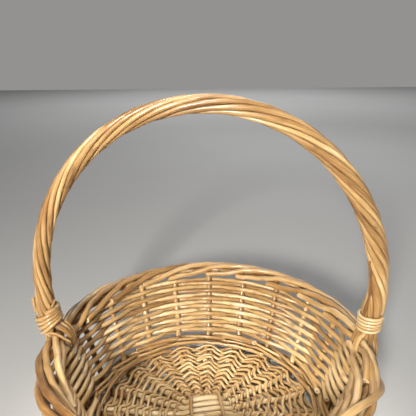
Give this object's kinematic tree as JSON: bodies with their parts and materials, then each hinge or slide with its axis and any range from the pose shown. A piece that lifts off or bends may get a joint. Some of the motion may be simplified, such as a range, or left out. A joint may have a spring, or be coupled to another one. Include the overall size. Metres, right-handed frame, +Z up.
{
  "type": "woven market basket",
  "caption": "Round woven willow market basket with flared randed side, rod border and one fixed roped bow handle tied on above the border.",
  "frame": {"origin": "under the middle of the basket's outline, on the plane its woven base rests on", "axes": "+Z up, +X along the handle's span towards its right foot, +Y across the basket to its back"},
  "size_m": [0.3834, 0.3608, 0.3673],
  "materials": {
    "willow_stick": "satin",
    "willow_stake": "satin",
    "willow_weaver": "satin",
    "willow_handle": "satin",
    "willow_binding": "gloss"
  },
  "bodies": {
    "root": {"base_stick_cross_1": "willow_stick", "base_stick_cross_2": "willow_stick", "base_stick_cross_3": "willow_stick", "base_stick_cross_4": "willow_stick", "base_stick_long_1": "willow_stick", "base_stick_long_2": "willow_stick", "base_stick_long_3": "willow_stick", "base_stick_long_4": "willow_stick", "base_stick_long_5": "willow_stick", "base_stick_long_6": "willow_stick", "base_weaver_1": "willow_weaver", "base_weaver_2": "willow_weaver", "handle_binding_left": "willow_binding", "handle_binding_right": "willow_binding", "handle_core": "willow_stick", "handle_strand_1": "willow_handle", "handle_strand_2": "willow_handle", "handle_strand_3": "willow_handle", "handle_strand_4": "willow_handle", "handle_strand_5": "willow_handle", "handle_strand_6": "willow_handle", "handle_strand_7": "willow_handle", "handle_strand_8": "willow_handle", "side_stake_01": "willow_stake", "side_stake_02": "willow_stake", "side_stake_03": "willow_stake", "side_stake_04": "willow_stake", "side_stake_05": "willow_stake", "side_stake_06": "willow_stake", "side_stake_07": "willow_stake", "side_stake_08": "willow_stake", "side_stake_09": "willow_stake", "side_stake_10": "willow_stake", "side_stake_11": "willow_stake", "side_stake_12": "willow_stake", "side_stake_13": "willow_stake", "side_stake_14": "willow_stake", "side_stake_15": "willow_stake", "side_stake_16": "willow_stake", "side_stake_17": "willow_stake", "side_stake_18": "willow_stake", "side_stake_19": "willow_stake", "side_stake_20": "willow_stake", "side_weaver_1": "willow_weaver", "side_weaver_2": "willow_weaver", "slath_binding_1": "willow_weaver", "slath_binding_2": "willow_weaver", "upsett_rod_1": "willow_weaver", "upsett_rod_2": "willow_weaver", "upsett_rod_3": "willow_weaver"}
  },
  "joints": []
}
